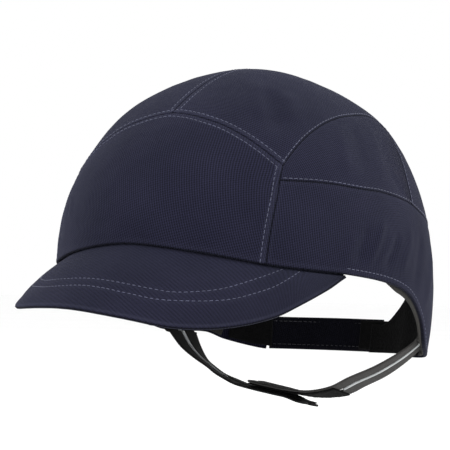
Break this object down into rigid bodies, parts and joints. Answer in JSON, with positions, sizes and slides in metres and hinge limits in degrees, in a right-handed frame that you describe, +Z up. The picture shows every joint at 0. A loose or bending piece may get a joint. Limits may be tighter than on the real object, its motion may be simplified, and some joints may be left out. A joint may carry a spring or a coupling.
{
  "type": "bump cap",
  "caption": "Bump cap: short curved peak, hard inner shell with foam pads, adjustable rear band and a two-piece reflective nape strap.",
  "frame": {"origin": "centre of the head opening at the height of the brow, in the middle of the crown's length and width", "axes": "+Z up, -Y towards the peak, +X towards the wearer's left"},
  "size_m": [0.1939, 0.2601, 0.1811],
  "materials": {
    "navy_twill": "cotton twill, matt with a faint sheen",
    "inner_twill": "cotton twill, inner face, matt",
    "black_facing": "brushed hook-and-loop fabric, matt",
    "grey_tape": "ribbed webbing tape, matt",
    "strap_webbing": "ribbed webbing, matt",
    "reflective_piping": "glass-bead reflective piping, satin",
    "peak_board": "plain moulded sheet",
    "shell_plastic": "moulded plastic with a fine grain",
    "foam": "closed-cell foam, skin side out",
    "towelling": "looped towelling, matt"
  },
  "bodies": {
    "cap": {"front_panel": "navy_twill", "crown_panel_left": "navy_twill", "crown_panel_right": "navy_twill", "side_upper_left": "navy_twill", "side_upper_right": "navy_twill", "side_lower_left": "navy_twill", "side_lower_right": "navy_twill", "peak_top_cover": "navy_twill", "peak_under_cover": "inner_twill", "rear_opening_tape": "inner_twill", "closure_loop_tab": "black_facing", "tail_facing_right": "black_facing", "hem_tape_left": "grey_tape", "hem_tape_right": "grey_tape", "nape_strap_anchor_left": "strap_webbing", "nape_strap_anchor_right": "strap_webbing", "peak_board": "peak_board", "bump_shell": "shell_plastic", "pad_front": "foam", "pad_left": "foam", "pad_right": "foam", "pad_rear": "foam", "pad_crown": "foam", "sweatband": "towelling"},
    "nape_strap_left": {"nape_strap_left_front_strip": "strap_webbing", "nape_strap_left_rear_strip": "strap_webbing", "nape_strap_left_piping": "reflective_piping", "nape_loop_patch": "black_facing"},
    "nape_strap_right": {"nape_strap_right_front_strip": "strap_webbing", "nape_strap_right_rear_strip": "strap_webbing", "nape_strap_right_piping": "reflective_piping", "nape_hook_patch": "black_facing"},
    "closure": {"closure_band": "inner_twill", "closure_hook_tab": "black_facing"}
  },
  "joints": [
    {"name": "nape_strap_left_lift", "type": "hinge", "parent": "cap", "child": "nape_strap_left", "pos_m": [0.0775, 0.052, -0.0512], "axis": [-0.423, 0.9061, 0], "range_deg": [0, 35]},
    {"name": "nape_strap_right_drop", "type": "hinge", "parent": "cap", "child": "nape_strap_right", "pos_m": [-0.0781, 0.052, -0.0487], "axis": [0.4068, 0.9135, 0], "range_deg": [0, 40]},
    {"name": "closure_open", "type": "hinge", "parent": "cap", "child": "closure", "pos_m": [-0.0456, 0.0951, -0.05], "axis": [0, 0, 1], "range_deg": [0, 60]}
  ]
}
